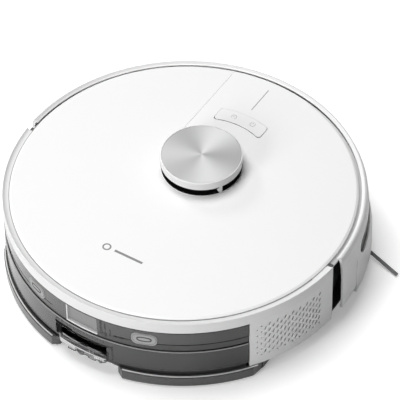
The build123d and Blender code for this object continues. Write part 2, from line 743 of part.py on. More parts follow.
with BuildPart() as speaker:
    add(cylinder(-112, 62, 60, 17, 7))
    add(cylinder(-112, 62, 67, 11, 5))

# ---------------------------------------------------------------- suction fan
FAN_X = 24.0
FAN_Y = -28.0
with BuildPart() as fan_housing:
    add(cylinder(FAN_X, FAN_Y, 52.2, 26, 22.2))
    add(block(FAN_X, 64, FAN_Y + 8, FAN_Y + 26, 52.2, 74.4))
    add(cylinder(FAN_X, FAN_Y, 54.2, 24, 18.2), mode=Mode.SUBTRACT)
    add(block(FAN_X, 65, FAN_Y + 10, FAN_Y + 24, 54.2, 72.4), mode=Mode.SUBTRACT)
    add(cylinder(FAN_X, FAN_Y, 71, 11, 5), mode=Mode.SUBTRACT)
    add(cylinder(FAN_X, FAN_Y, 53, 2.5, 14))

with BuildPart() as fan_impeller:
    add(cylinder(FAN_X, FAN_Y, 56, 22, 2))
    with BuildSketch(Plane.XY.offset(57)):
        with Locations((FAN_X, FAN_Y)):
            with PolarLocations(14, 9):
                Rectangle(14, 1.2, rotation=28)
    extrude(amount=11)
    add(cylinder(FAN_X, FAN_Y, 56, 6, 11.5))
    add(cylinder(FAN_X, FAN_Y, 55, 2.5 + RUN_GAP, 12.4), mode=Mode.SUBTRACT)

# ---------------------------------------------------------------- tank
BAY_CLEAR = 0.6
TANK_TOP = 74.2
TANK_WALL = 2.2
GROOVE_DEEP = 0.9       # depth of the shallow band under the buttons
TANK_END = 53.1         # half width of the tank's face, degrees each side of the rear
TANK_START = -90 - TANK_END
TANK_SWEEP = 2 * TANK_END
TANK_GROOVE = [
    (TANK_R - GROOVE_DEEP, TANK_STEP),
    (TANK_R + 2, TANK_STEP),
    (TANK_R + 2, TANK_RECESS + 2),
    (TANK_R - GROOVE_DEEP, TANK_RECESS),
]
LABEL_ANGLE = -90.9
SLOT_ANGLE = -90.8
SLOT_HALF = 26.0
SLOT_LOW = 22.5
SLOT_TOP = 37.0


def button_cut(side, margin, low, depth):
    """Oval prism that runs outwards from a button's inner end."""
    with BuildPart() as prism:
        with BuildSketch(wall_plane(-90 + side * BUTTON_ANGLE, low, BUTTON_Z)):
            RectangleRounded(25 + 2 * margin, 15 + 2 * margin, 6.2 + margin)
        extrude(amount=depth)
    return prism.part


with BuildPart() as tank_shell:
    add(bay_block(TANK_R, -BAY_CLEAR, TANK_LOW, TANK_TOP))
    add(turned(TANK_GROOVE, TANK_START - 4, TANK_SWEEP + 8), mode=Mode.SUBTRACT)
    add(bay_block(TANK_R - 5.2, -BAY_CLEAR - TANK_WALL, TANK_LOW + 2, TANK_TOP - 2), mode=Mode.SUBTRACT)
    add(block(-34, 34, BAY_Y - 4, BAY_Y + 1, 35.5, 47.5), mode=Mode.SUBTRACT)
    for side in (1, -1):
        add(button_cut(side, 0.4, 166, 20), mode=Mode.SUBTRACT)
    with BuildSketch(wall_plane(LABEL_ANGLE, TANK_R - 7, 62.1)):
        RectangleRounded(34.4, 20.4, 2)
    extrude(amount=12, mode=Mode.SUBTRACT)
    with BuildSketch(wall_plane(SLOT_ANGLE, TANK_R - 8, (SLOT_LOW + SLOT_TOP) / 2)):
        Rectangle(2 * SLOT_HALF, SLOT_TOP - SLOT_LOW)
    extrude(amount=14, mode=Mode.SUBTRACT)

with BuildPart() as tank_label:
    with BuildSketch(wall_plane(LABEL_ANGLE, TANK_R - 6.4, 62.1)):
        RectangleRounded(34, 20, 2)
    extrude(amount=3.6)


def tank_button_solid(side):
    """Oval push button with a slim latch tongue behind it."""
    with BuildPart() as button:
        add(button_cut(side, 0, 168, 10))
        add(arc_wall(150, TANK_R + 0.3, 50, 74, -150, 120), mode=Mode.INTERSECT)
    return button.part


with BuildPart() as tank_button_right:
    add(tank_button_solid(1))
with BuildPart() as tank_button_left:
    add(tank_button_solid(-1))

with BuildPart() as dust_divider:
    add(block(-70, 70, -110, -108, TANK_LOW + 2.2, TANK_TOP - 2.2))

with BuildPart() as filter_frame:
    add(block(38, 84, -70.5, -66, 30, 68))
    add(block(42, 80, -72, -64, 34, 64), mode=Mode.SUBTRACT)

with BuildPart() as filter_pleats:
    add(block(42.1, 79.9, -70.4, -66.1, 34.1, 63.9))
    with BuildSketch(Plane.XY.offset(33)):
        with GridLocations(3.4, 0, 11, 1):
            with Locations((61, -66.1)):
                RegularPolygon(1.5, 3, rotation=-90)
    extrude(amount=32, mode=Mode.SUBTRACT)

with BuildPart() as tank_base:
    add(bay_block(171.5, -BAY_CLEAR - 1.2, 12.4, TANK_LOW - 0.05))

FLAP_R = 175.3
FLAP_ANGLE = -90.8
FLAP_HALF = 8.9         # degrees each side of its middle
FLAP_LOW = 16.0
FLAP_TOP = 28.6
FLAP_PIN_Y = -176.2
with BuildPart() as port_flap:
    add(arc_wall(FLAP_R, FLAP_R + 1.6, FLAP_LOW, FLAP_TOP, FLAP_ANGLE - FLAP_HALF, 2 * FLAP_HALF))
    with BuildSketch(wall_plane(FLAP_ANGLE, 160, (FLAP_LOW + FLAP_TOP) / 2)):
        RectangleRounded(54.6, FLAP_TOP - FLAP_LOW, 3.5)
    extrude(amount=30, mode=Mode.INTERSECT)
    for knuckle_x in (-14, 9):
        add(cross_cylinder(knuckle_x - 4, FLAP_PIN_Y, FLAP_LOW - 0.6, 1.3, 8))

# ---------------------------------------------------------------- mop
MOP_HALF_GAP = 33.0
MOP_FRONT = -78.0
NOTCH_Y = -162.5
LIP_START = -147.7
LIP_END = -32.3
LIP_CORNER_Y = -168.5
LIP_FLARE = 70.0        # half width of the gap between the lips, outside the body
LIP_IN_R = 172.0
LIP_TIP = Vector(LIP_IN_R * cos(radians(LIP_END)), LIP_IN_R * sin(radians(LIP_END)))
with BuildPart() as mop_bracket:
    with BuildSketch(Plane.XY.offset(2.4)):
        Circle(MOP_R)
        with Locations((0, MOP_FRONT - 100)):
            Rectangle(292, 200, mode=Mode.INTERSECT)
    extrude(amount=7.2)
    add(arc_wall(LIP_IN_R, MOP_R, 2.4, 14.0, LIP_START, LIP_END - LIP_START))
    chamfer(mop_bracket.edges().filter_by(GeomType.CIRCLE).sort_by(Axis.Z)[-2:], 1.2)
    with BuildSketch():
        with BuildLine():
            Polyline(
                (-MOP_HALF_GAP, NOTCH_Y),
                (MOP_HALF_GAP, NOTCH_Y),
                (MOP_HALF_GAP, LIP_CORNER_Y),
                (LIP_FLARE, -192),
                (-LIP_FLARE, -192),
                (-MOP_HALF_GAP, LIP_CORNER_Y),
                close=True,
            )
        make_face()
        for side in (1, -1):
            with BuildLine():
                Polyline(
                    (side * LIP_TIP.X, LIP_TIP.Y),
                    (side * (LIP_TIP.X - 4), LIP_TIP.Y - 27),
                    (side * 200, LIP_TIP.Y - 27),
                    (side * 200, LIP_TIP.Y),
                    close=True,
                )
            make_face()
    extrude(amount=20, mode=Mode.SUBTRACT)

with BuildPart() as mop_cloth:
    with BuildSketch(Plane.XY):
        Circle(MOP_R - 3.5)
        with Locations((0, MOP_FRONT - 102)):
            Rectangle(284, 196, mode=Mode.INTERSECT)
        with Locations((0, NOTCH_Y - 20)):
            Rectangle(2 * MOP_HALF_GAP + 3, 42, mode=Mode.SUBTRACT)
    extrude(amount=2.35)

# ---------------------------------------------------------------- write every piece
PIECES = {
    "lower_housing": lower_housing,
    "upper_housing": upper_housing,
    "side_panel_right": side_panel_right,
    "side_panel_left": side_panel_left,
    "top_cover": top_cover,
    "key_plate": key_plate,
    "key_switches": key_switches,
    "main_board": main_board,
    "turret_base": turret_base,
    "turret_cover": turret_cover,
    "turret_cap": turret_cap,
    "laser_head": laser_head,
    "laser_lens": laser_lens,
    "turret_motor": turret_motor,
    "turret_pulley": turret_pulley,
    "bumper_shell": bumper_shell,
    "bumper_window_right": bumper_window_right,
    "bumper_window_left": bumper_window_left,
    "bumper_window_front": bumper_window_front,
    "bumper_guide": bumper_guide,
    "bumper_switches": bumper_switches,
    "wheel_housing_right": wheel_housing_right,
    "wheel_housing_left": wheel_housing_left,
    "wheel_arm_right": wheel_arm_right,
    "wheel_arm_left": wheel_arm_left,
    "wheel_hub_right": wheel_hub_right,
    "wheel_hub_left": wheel_hub_left,
    "tyre_right": tyre_right,
    "tyre_left": tyre_left,
    "caster_fork": caster_fork,
    "caster_wheel": caster_wheel,
    "brush_housing": brush_housing,
    "main_brush": main_brush,
    "brush_bearings": brush_bearings,
    "brush_motor": brush_motor,
    "brush_cover": brush_cover,
    "side_brush_right": side_brush_right,
    "side_brush_left": side_brush_left,
    "side_brush_motor_right": side_brush_motor_right,
    "side_brush_motor_left": side_brush_motor_left,
    "battery_pack": battery_pack,
    "battery_door": battery_door,
    "cliff_sensors": cliff_sensors,
    "charging_contacts": charging_contacts,
    "housing_screws": housing_screws,
    "speaker": speaker,
    "fan_housing": fan_housing,
    "fan_impeller": fan_impeller,
    "tank_shell": tank_shell,
    "tank_label": tank_label,
    "tank_button_right": tank_button_right,
    "tank_button_left": tank_button_left,
    "dust_divider": dust_divider,
    "filter_frame": filter_frame,
    "filter_pleats": filter_pleats,
    "tank_base": tank_base,
    "port_flap": port_flap,
    "mop_bracket": mop_bracket,
    "mop_cloth": mop_cloth,
}
for piece_name, piece in PIECES.items():
    save(piece, piece_name)
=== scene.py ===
"""Robot vacuum and mop: finishes, fine pieces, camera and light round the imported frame."""
import bpy
import bmesh
import json
import math
import random
from mathutils import Matrix, Vector


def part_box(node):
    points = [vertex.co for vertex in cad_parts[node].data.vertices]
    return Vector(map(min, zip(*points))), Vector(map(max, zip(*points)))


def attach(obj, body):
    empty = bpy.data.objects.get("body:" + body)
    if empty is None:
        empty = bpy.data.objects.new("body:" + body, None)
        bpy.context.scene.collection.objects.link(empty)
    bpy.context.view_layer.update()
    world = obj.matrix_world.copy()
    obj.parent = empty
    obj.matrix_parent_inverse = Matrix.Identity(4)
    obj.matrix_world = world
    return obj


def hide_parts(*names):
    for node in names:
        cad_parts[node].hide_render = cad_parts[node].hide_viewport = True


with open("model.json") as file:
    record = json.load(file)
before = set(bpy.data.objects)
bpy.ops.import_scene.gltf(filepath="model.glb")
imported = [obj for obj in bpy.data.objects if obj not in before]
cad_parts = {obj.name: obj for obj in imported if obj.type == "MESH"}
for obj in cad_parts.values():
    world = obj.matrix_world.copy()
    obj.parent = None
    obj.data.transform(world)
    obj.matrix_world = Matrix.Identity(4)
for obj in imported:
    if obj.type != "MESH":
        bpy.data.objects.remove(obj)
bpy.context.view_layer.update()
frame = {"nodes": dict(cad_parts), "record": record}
nodes = frame["nodes"]
scene = bpy.context.scene
MM = 0.001


# ---------------------------------------------------------------- camera
VIEW_AZIMUTH = math.radians(33.2)
VIEW_ELEVATION = math.radians(46.67)
VIEW_ROLL = math.radians(0.96)
VIEW_DISTANCE = 2.882
VIEW_RIGHT = 0.0154     # the camera stands this far to the right of the line to the rim's middle
VIEW_UP = -0.0122
SENSOR_WIDTH = 36
LENS = 270
rim_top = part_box("upper_housing")[1].z


def set_camera():
    """Long-lens camera behind and to the right of the robot, looking down at its lid."""
    right = Vector((math.cos(VIEW_AZIMUTH), math.sin(VIEW_AZIMUTH), 0))
    ahead = Vector((-math.sin(VIEW_AZIMUTH), math.cos(VIEW_AZIMUTH), 0))
    forward = ahead * math.cos(VIEW_ELEVATION) - Vector((0, 0, math.sin(VIEW_ELEVATION)))
    up = right.cross(forward)
    rolled_right = right * math.cos(VIEW_ROLL) - up * math.sin(VIEW_ROLL)
    rolled_up = right * math.sin(VIEW_ROLL) + up * math.cos(VIEW_ROLL)
    aim = Vector((0, 0, rim_top))
    place = aim - forward * VIEW_DISTANCE + rolled_right * VIEW_RIGHT + rolled_up * VIEW_UP
    data = bpy.data.cameras.new("camera")
    data.sensor_width = SENSOR_WIDTH
    data.lens = LENS
    camera = bpy.data.objects.new("camera", data)
    scene.collection.objects.link(camera)
    turn = Matrix((rolled_right, rolled_up, -forward)).transposed().to_4x4()
    camera.matrix_world = Matrix.Translation(place) @ turn
    scene.camera = camera


set_camera()


# ---------------------------------------------------------------- shared shader effects
def new_group(name, inputs, outputs):
    """Empty shader group with named sockets; each input is (name, kind, default)."""
    tree = bpy.data.node_groups.new(name, "ShaderNodeTree")
    for label, kind, default in inputs:
        socket = tree.interface.new_socket(label, in_out="INPUT", socket_type=kind)
        if default is not None:
            socket.default_value = default
    for label, kind in outputs:
        tree.interface.new_socket(label, in_out="OUTPUT", socket_type=kind)
    start = tree.nodes.new("NodeGroupInput")
    end = tree.nodes.new("NodeGroupOutput")
    return tree, start, end


def add_node(tree, kind, **settings):
    """New node; a setting that isn't a property of the node goes to the input of that name."""
    node = tree.nodes.new(kind)
    for key, value in settings.items():
        if hasattr(node, key):
            setattr(node, key, value)
        else:
            node.inputs[key.replace("_", " ").title()].default_value = value
    return node


def mix_colour(tree, factor, first, second, blend="MIX"):
    """Colour mix of two sockets or colours."""
    node = tree.nodes.new("ShaderNodeMix")
    node.data_type = "RGBA"
    node.blend_type = blend
    for index, value in ((0, factor), (6, first), (7, second)):
        if isinstance(value, bpy.types.NodeSocket):
            tree.links.new(value, node.inputs[index])
        else:
            node.inputs[index].default_value = value
    return node.outputs[2]


def mould_grain_group():
    """Fine moulded texture: a tone that drifts a little, uneven gloss and a small height."""
    tree, start, end = new_group(
        "Mould Grain",
        [
            ("Vector", "NodeSocketVector", None),
            ("Color", "NodeSocketColor", (0.8, 0.8, 0.8, 1)),
            ("Shade Color", "NodeSocketColor", (0.7, 0.7, 0.7, 1)),
            ("Scale", "NodeSocketFloat", 900.0),
            ("Smooth", "NodeSocketFloat", 0.3),
            ("Rough", "NodeSocketFloat", 0.4),
        ],
        [("Color", "NodeSocketColor"), ("Roughness", "NodeSocketFloat"), ("Height", "NodeSocketFloat")],
    )
    link = tree.links.new
    fine = add_node(tree, "ShaderNodeTexNoise", detail=3.0, roughness=0.6)
    drift = add_node(tree, "ShaderNodeTexNoise", scale=14.0, detail=4.0)
    link(start.outputs["Vector"], fine.inputs["Vector"])
    link(start.outputs["Scale"], fine.inputs["Scale"])
    link(start.outputs["Vector"], drift.inputs["Vector"])
    tone = mix_colour(tree, drift.outputs["Fac"], start.outputs["Color"], start.outputs["Shade Color"])
    gloss = add_node(tree, "ShaderNodeMapRange")
    link(drift.outputs["Fac"], gloss.inputs["Value"])
    link(start.outputs["Smooth"], gloss.inputs["To Min"])
    link(start.outputs["Rough"], gloss.inputs["To Max"])
    link(tone, end.inputs["Color"])
    link(gloss.outputs["Result"], end.inputs["Roughness"])
    link(fine.outputs["Fac"], end.inputs["Height"])
    return tree


WEAR_START = 0.53       # pointiness where wear begins
WEAR_FULL = 0.64        # pointiness where it is complete
WEAR_AMOUNT = 0.3


def edge_wear_group():
    """Mask of the sharp outer edges, broken up by noise, and the colour worn along them."""
    tree, start, end = new_group(
        "Edge Wear",
        [
            ("Vector", "NodeSocketVector", None),
            ("Color", "NodeSocketColor", (0.8, 0.8, 0.8, 1)),
            ("Worn Color", "NodeSocketColor", (0.9, 0.9, 0.9, 1)),
            ("Amount", "NodeSocketFloat", 0.4),
        ],
        [("Color", "NodeSocketColor"), ("Mask", "NodeSocketFloat")],
    )
    link = tree.links.new
    shape = add_node(tree, "ShaderNodeNewGeometry")
    edge = add_node(tree, "ShaderNodeMapRange")
    edge.inputs["From Min"].default_value = WEAR_START
    edge.inputs["From Max"].default_value = WEAR_FULL
    link(shape.outputs["Pointiness"], edge.inputs["Value"])
    breakup = add_node(tree, "ShaderNodeTexNoise", scale=160.0, detail=3.0)
    link(start.outputs["Vector"], breakup.inputs["Vector"])
    worn = add_node(tree, "ShaderNodeMath", operation="MULTIPLY")
    link(edge.outputs["Result"], worn.inputs[0])
    link(breakup.outputs["Fac"], worn.inputs[1])
    amount = add_node(tree, "ShaderNodeMath", operation="MULTIPLY")
    link(worn.outputs[0], amount.inputs[0])
    link(start.outputs["Amount"], amount.inputs[1])
    tone = mix_colour(tree, amount.outputs[0], start.outputs["Color"], start.outputs["Worn Color"])
    link(tone, end.inputs["Color"])
    link(amount.outputs[0], end.inputs["Mask"])
    return tree


def dust_group():
    """Thin dust that lies on surfaces facing up, thicker in patches."""
    tree, start, end = new_group(
        "Light Dust",
        [
            ("Vector", "NodeSocketVector", None),
            ("Color", "NodeSocketColor", (0.1, 0.1, 0.1, 1)),
            ("Dust Color", "NodeSocketColor", (0.5, 0.49, 0.47, 1)),
            ("Amount", "NodeSocketFloat", 0.1),
        ],
        [("Color", "NodeSocketColor")],
    )
    link = tree.links.new
    shape = add_node(tree, "ShaderNodeNewGeometry")
    parts = add_node(tree, "ShaderNodeSeparateXYZ")
    link(shape.outputs["Normal"], parts.inputs[0])
    facing = add_node(tree, "ShaderNodeMapRange")
    link(parts.outputs["Z"], facing.inputs["Value"])
    patches = add_node(tree, "ShaderNodeTexNoise", scale=60.0, detail=5.0, roughness=0.7)
    link(start.outputs["Vector"], patches.inputs["Vector"])
    first = add_node(tree, "ShaderNodeMath", operation="MULTIPLY")
    link(facing.outputs["Result"], first.inputs[0])
    link(patches.outputs["Fac"], first.inputs[1])
    second = add_node(tree, "ShaderNodeMath", operation="MULTIPLY")
    link(first.outputs[0], second.inputs[0])
    link(start.outputs["Amount"], second.inputs[1])
    tone = mix_colour(tree, second.outputs[0], start.outputs["Color"], start.outputs["Dust Color"])
    link(tone, end.inputs["Color"])
    return tree


MOULD_GRAIN = mould_grain_group()
EDGE_WEAR = edge_wear_group()
LIGHT_DUST = dust_group()


def grey(level, tint=0.0):
    """Neutral colour, a little cooler where tint is positive."""
    return (level * (1 - tint), level, level * (1 + tint), 1)


BUMP_STRENGTH = 0.35


def moulded(
    name, colour, shade, smooth, rough, scale=900.0, depth=0.02, worn=None, dust=0.0, **sockets
):
    """Moulded material: grain, edge wear and dust groups in front of one Principled shader."""
    material = bpy.data.materials.new(name)
    material.use_nodes = True
    tree = material.node_tree
    shader = tree.nodes["Principled BSDF"]
    for label, value in sockets.items():
        shader.inputs[label.replace("_", " ").title().replace("Ior", "IOR")].default_value = value
    place = add_node(tree, "ShaderNodeTexCoord")
    grain = add_node(tree, "ShaderNodeGroup", node_tree=MOULD_GRAIN)
    for label, value in (
        ("Color", colour),
        ("Shade Color", shade),
        ("Scale", scale),
        ("Smooth", smooth),
        ("Rough", rough),
    ):
        grain.inputs[label].default_value = value
    tree.links.new(place.outputs["Object"], grain.inputs["Vector"])
    tone = grain.outputs["Color"]
    if worn is not None:
        edges = add_node(tree, "ShaderNodeGroup", node_tree=EDGE_WEAR)
        edges.inputs["Worn Color"].default_value = worn
        edges.inputs["Amount"].default_value = WEAR_AMOUNT
        tree.links.new(place.outputs["Object"], edges.inputs["Vector"])
        tree.links.new(tone, edges.inputs["Color"])
        tone = edges.outputs["Color"]
    if dust > 0:
        film = add_node(tree, "ShaderNodeGroup", node_tree=LIGHT_DUST)
        film.inputs["Amount"].default_value = dust
        tree.links.new(place.outputs["Object"], film.inputs["Vector"])
        tree.links.new(tone, film.inputs["Color"])
        tone = film.outputs["Color"]
    tree.links.new(tone, shader.inputs["Base Color"])
    tree.links.new(grain.outputs["Roughness"], shader.inputs["Roughness"])
    bump = add_node(tree, "ShaderNodeBump", strength=BUMP_STRENGTH)
    bump.inputs["Distance"].default_value = depth * MM
    tree.links.new(grain.outputs["Height"], bump.inputs["Height"])
    tree.links.new(bump.outputs["Normal"], shader.inputs["Normal"])
    return material


HIGHLIGHT_SECTORS = 3.0       # painted highlights: bright sectors round the spun disc
HIGHLIGHT_ANGLE = 86.3        # direction of the first of them, degrees
BETWEEN_HIGHLIGHTS = 0.68         # tone between the painted highlights
RING_SCALE = 2600.0     # fineness of the turned rings
RING_DEPTH = 0.004


def spun_metal():
    """Disc turned on a lathe: fine rings round its middle, and three bright sectors that fan out, which
    are painted highlights in its colour.
    """
    material = moulded(
        "spun aluminium with painted highlights", grey(0.7, 0.004), grey(0.73), 0.36, 0.4,
        metallic=0.3, anisotropic=0.5, anisotropic_rotation=0.25,
    )
    tree = material.node_tree
    shader = tree.nodes["Principled BSDF"]
    place = add_node(tree, "ShaderNodeTexCoord")
    low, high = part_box("turret_cap")
    middle = add_node(tree, "ShaderNodeVectorMath", operation="SUBTRACT")
    middle.inputs[1].default_value = ((low.x + high.x) / 2, (low.y + high.y) / 2, high.z)
    tree.links.new(place.outputs["Object"], middle.inputs[0])
    radius = add_node(tree, "ShaderNodeVectorMath", operation="LENGTH")
    tree.links.new(middle.outputs[0], radius.inputs[0])
    rings = add_node(tree, "ShaderNodeTexNoise", noise_dimensions="1D", scale=RING_SCALE, detail=4.0)
    tree.links.new(radius.outputs["Value"], rings.inputs["W"])
    bump = next(node for node in tree.nodes if node.bl_idname == "ShaderNodeBump")
    tree.links.new(rings.outputs["Fac"], bump.inputs["Height"])
    bump.inputs["Distance"].default_value = RING_DEPTH * MM
    across = add_node(tree, "ShaderNodeSeparateXYZ")
    tree.links.new(middle.outputs[0], across.inputs[0])
    angle = add_node(tree, "ShaderNodeMath", operation="ARCTAN2")
    tree.links.new(across.outputs["Y"], angle.inputs[0])
    tree.links.new(across.outputs["X"], angle.inputs[1])
    turn = add_node(tree, "ShaderNodeMath", operation="MULTIPLY_ADD")
    turn.inputs[1].default_value = HIGHLIGHT_SECTORS
    turn.inputs[2].default_value = math.radians(-HIGHLIGHT_SECTORS * HIGHLIGHT_ANGLE)
    tree.links.new(angle.outputs[0], turn.inputs[0])
    wave = add_node(tree, "ShaderNodeMath", operation="COSINE")
    tree.links.new(turn.outputs[0], wave.inputs[0])
    sheen = add_node(tree, "ShaderNodeMapRange")
    sheen.inputs["From Min"].default_value = -1.0
    tree.links.new(wave.outputs[0], sheen.inputs["Value"])
    # painted highlight: the colour is dulled between three sectors, by direction round the disc's middle
    bright = shader.inputs["Base Color"].links[0].from_socket
    painted_dull = mix_colour(tree, 1.0, bright, grey(BETWEEN_HIGHLIGHTS), "MULTIPLY")
    fan = mix_colour(tree, sheen.outputs["Result"], painted_dull, bright)
    tree.links.new(fan, shader.inputs["Base Color"])
    spin = add_node(tree, "ShaderNodeTangent", direction_type="RADIAL", axis="Z")
    tree.links.new(spin.outputs["Tangent"], shader.inputs["Tangent"])
    return material


def pile_fabric():
    """Looped microfibre: a rough pile with stripes of a second thread."""
    material = moulded(
        "mop microfibre", grey(0.5, 0.01), grey(0.66), 0.85, 0.95,
        scale=500.0, depth=0.6, sheen_weight=0.5,
    )
    tree = material.node_tree
    shader = tree.nodes["Principled BSDF"]
    place = add_node(tree, "ShaderNodeTexCoord")
    stripes = add_node(tree, "ShaderNodeTexWave", scale=60.0, distortion=1.2)
    tree.links.new(place.outputs["Object"], stripes.inputs["Vector"])
    pile = shader.inputs["Base Color"].links[0].from_socket
    tone = mix_colour(tree, stripes.outputs["Fac"], pile, grey(0.38, 0.03))
    tree.links.new(tone, shader.inputs["Base Color"])
    return material


TANK_PAINTED_SHADES = (         # axis, where the painted shade starts and where it is full, its tone
    ("Z", 0.0576, 0.0566, 0.62),
    ("X", 0.092, 0.126, 0.2),
)


def smoked_tank_painted_shade():
    """Smoked plastic with painted shade: darker below a height of about 57 mm and towards its end on the
    +X side.
    """
    material = moulded(
        "smoked tank plastic with painted shade", grey(0.09), grey(0.07), 0.14, 0.22, depth=0.004, worn=grey(0.3),
        dust=0.04, transmission_weight=0.45, ior=1.5, coat_weight=0.5,
    )
    tree = material.node_tree
    shader = tree.nodes["Principled BSDF"]
    place = add_node(tree, "ShaderNodeTexCoord")
    spot = add_node(tree, "ShaderNodeSeparateXYZ")
    tree.links.new(place.outputs["Object"], spot.inputs[0])
    tone = shader.inputs["Base Color"].links[0].from_socket
    # painted shade: the tone is multiplied darker by height and along X
    for axis, start, full, deep in TANK_PAINTED_SHADES:
        shade = add_node(tree, "ShaderNodeMapRange")
        shade.inputs["From Min"].default_value = start
        shade.inputs["From Max"].default_value = full
        tree.links.new(spot.outputs[axis], shade.inputs["Value"])
        dark = mix_colour(tree, 1.0, tone, grey(deep), "MULTIPLY")
        tone = mix_colour(tree, shade.outputs["Result"], tone, dark)
    tree.links.new(tone, shader.inputs["Base Color"])
    return material


WHITE = moulded(
    "white lid plastic", grey(0.86), grey(0.84), 0.3, 0.36, worn=grey(0.93), dust=0.02, coat_weight=0.15
)
SHELL_AND_HIGHLIGHT = moulded(
    "white shell plastic and painted highlights", grey(0.77), grey(0.74), 0.32, 0.4, worn=grey(0.92), dust=0.02
)
KEY_WHITE = moulded("key plastic", grey(0.84), grey(0.82), 0.38, 0.45, scale=1400.0)
LIGHT_GREY = moulded(
    "light grey plastic and painted highlights", grey(0.36), grey(0.33), 0.4, 0.5, worn=grey(0.55), dust=0.03
)
MATT_BLACK = moulded(
    "matt sensor black and painted shade", grey(0.006), grey(0.012), 0.5, 0.6,
    depth=0.01, specular_ior_level=0.1, ior=1.2,
)
LABEL_GREY_AND_SHADE = moulded("label recess plastic and painted shade", grey(0.24), grey(0.27), 0.4, 0.5, depth=0.03)
DARK = moulded(
    "dark chassis plastic", grey(0.035), grey(0.05), 0.45, 0.6,
    depth=0.05, worn=grey(0.12), dust=0.12,
)
GLOSS = moulded(
    "black infrared gloss", grey(0.02), grey(0.03), 0.22, 0.3,
    depth=0.002, dust=0.03, specular_ior_level=0.25, ior=1.2,
)
SMOKE = moulded(
    "smoked bracket plastic", grey(0.14), grey(0.115), 0.14, 0.22, depth=0.004, worn=grey(0.3),
    dust=0.04, transmission_weight=0.45, ior=1.5, coat_weight=0.5,
)
SHADED_TANK_SMOKE = smoked_tank_painted_shade()
CLEAR = moulded(
    "clear flap plastic", grey(0.97), grey(0.94), 0.02, 0.04,
    depth=0.001, transmission_weight=1.0, ior=1.3,
)
HIGHLIGHTED_METAL = spun_metal()
STEEL = moulded("plated steel", grey(0.5), grey(0.42), 0.25, 0.4, metallic=1.0, worn=grey(0.7))
CONTACT = moulded(
    "plated contact", (0.62, 0.5, 0.28, 1), (0.55, 0.43, 0.22, 1), 0.2, 0.35, metallic=1.0
)
RUBBER = moulded(
    "tyre rubber", grey(0.022), grey(0.035), 0.65, 0.85,
    scale=1500.0, depth=0.15, worn=grey(0.08), dust=0.3,
)
BLADE = moulded("blade rubber", grey(0.05), grey(0.07), 0.5, 0.65, depth=0.05, dust=0.15)
NYLON = moulded("nylon bristle", grey(0.34), grey(0.24), 0.35, 0.5, scale=2500.0, dust=0.1)
FABRIC = pile_fabric()
PAPER = moulded(
    "filter paper", (0.76, 0.75, 0.68, 1), (0.68, 0.66, 0.58, 1), 0.85, 0.95,
    scale=2200.0, depth=0.1,
)
BOARD = moulded(
    "circuit board", (0.015, 0.09, 0.04, 1), (0.02, 0.13, 0.06, 1), 0.3, 0.45,
    scale=500.0, dust=0.05,
)
WRAP = moulded("battery wrap", (0.03, 0.06, 0.16, 1), (0.04, 0.07, 0.2, 1), 0.3, 0.45, depth=0.08)
PRINT = moulded("grey print", grey(0.2), grey(0.24), 0.5, 0.6, scale=2000.0)
PALE_PRINT = moulded("pale print", grey(0.3), grey(0.34), 0.5, 0.6, scale=2000.0)

FINISHES = {
    "white_shell": SHELL_AND_HIGHLIGHT,
    "grey_plastic": LIGHT_GREY,
    "dark_plastic": DARK,
    "smoke_plastic": SMOKE,
    "clear_plastic": CLEAR,
    "black_gloss": GLOSS,
    "spun_metal": HIGHLIGHTED_METAL,
    "steel": STEEL,
    "contact_metal": CONTACT,
    "tyre_rubber": RUBBER,
    "brush_rubber": BLADE,
    "bristle": NYLON,
    "mop_fabric": FABRIC,
    "filter_paper": PAPER,
    "board_green": BOARD,
    "battery_wrap": WRAP,
}


def dress_frame():
    """Gives every CAD node the finish of its material slot, with a few of its own."""
    for entry in frame["record"]["subparts"]:
        node = nodes[entry["node"]]
        node.data.materials.clear()
        node.data.materials.append(FINISHES[entry["material_slot"]])
    for name, material in (
        ("top_cover", WHITE),
        ("key_plate", KEY_WHITE),
        ("tank_label", LABEL_GREY_AND_SHADE),
        ("mop_bracket", SMOKE),
        ("tank_shell", SHADED_TANK_SMOKE),
        ("laser_head", MATT_BLACK),
    ):
        nodes[name].data.materials.clear()
        nodes[name].data.materials.append(material)


dress_frame()


# ---------------------------------------------------------------- mesh helpers
def new_piece(name, mesh, material, body, smooth=False):
    """Object from a bmesh, dressed, placed and riding on its body."""
    bmesh.ops.remove_doubles(mesh, verts=mesh.verts, dist=1e-6)
    bmesh.ops.recalc_face_normals(mesh, faces=mesh.faces)
    data = bpy.data.meshes.new(name)
    mesh.to_mesh(data)
    mesh.free()
    if smooth:
        data.shade_smooth()
    data.materials.append(material)
    piece = bpy.data.objects.new(name, data)
    scene.collection.objects.link(piece)
    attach(piece, body)
    return piece


def tube_skin(mesh, rings, loop=False):
    """Faces between equal rings of points, closed by end faces or round into a loop."""
    rows = [[mesh.verts.new(point) for point in ring] for ring in rings]
    pairs = list(zip(rows, rows[1:]))
    if loop:
        pairs.append((rows[-1], rows[0]))
    for row, following in pairs:
        for i in range(len(row)):
            j = (i + 1) % len(row)
            mesh.faces.new((row[i], row[j], following[j], following[i]))
    if not loop:
        mesh.faces.new(rows[0][::-1])
        mesh.faces.new(rows[-1])


def flat_stroke(mesh, points, width, z_low, z_high, loop=False):
    """Flat printed stroke of one width along points in the lid's plane."""
    rings = []
    count = len(points)
    for i, point in enumerate(points):
        before = points[(i - 1) % count] if (loop or i > 0) else points[i]
        after = points[(i + 1) % count] if (loop or i < count - 1) else points[i]
        along = (Vector(after) - Vector(before)).normalized()
        across = Vector((-along.y, along.x)) * (width / 2)
        left = Vector(point) + across
        right = Vector(point) - across
        rings.append([(*left, z_low), (*right, z_low), (*right, z_high), (*left, z_high)])
    tube_skin(mesh, rings, loop=loop)


